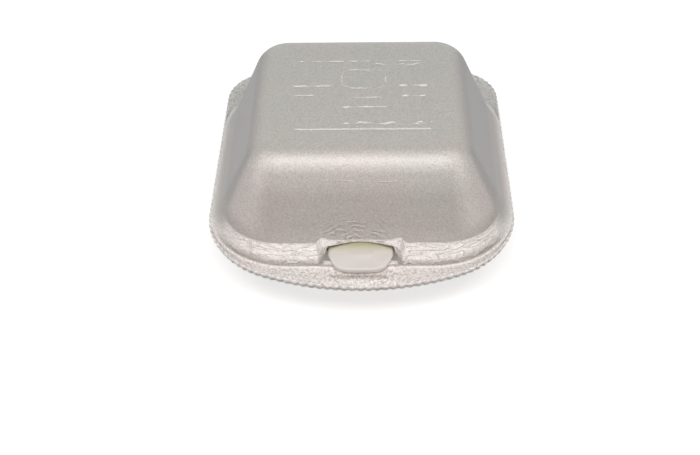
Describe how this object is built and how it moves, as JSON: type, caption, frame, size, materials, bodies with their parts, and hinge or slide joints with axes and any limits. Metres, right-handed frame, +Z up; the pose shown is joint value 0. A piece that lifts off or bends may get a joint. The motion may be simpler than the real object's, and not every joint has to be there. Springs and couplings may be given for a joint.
{
  "type": "hinged foam burger box",
  "caption": "Shut takeaway burger box of foam plastic: a tray and a domed lid hinged along the back, with pinked flanges, locked by a tongue through a lens-shaped slot.",
  "frame": {"origin": "middle of the box's outline on the surface that it stands on", "axes": "+X to the right seen from the lock, +Y back towards the hinge, +Z up"},
  "size_m": [0.13, 0.152, 0.0639],
  "materials": {
    "foam_sheet": "off-white expanded foam sheet with a satin skin and a fine bead grain"
  },
  "bodies": {
    "tray": {"base_tray": "foam_sheet"},
    "lid": {"lid": "foam_sheet"},
    "tongue": {"lock_tongue": "foam_sheet"}
  },
  "joints": [
    {"name": "lid_hinge", "type": "hinge", "parent": "tray", "child": "lid", "pos_m": [0, 0.07615, 0.0215], "axis": [-1, 0, 0], "range_deg": [0, 154]},
    {"name": "tongue_flex", "type": "hinge", "parent": "tray", "child": "tongue", "pos_m": [0, -0.0624, 0.0263], "axis": [-1, 0, 0], "range_deg": [0, 75], "stiffness_Nm_per_rad": 0.0005}
  ]
}
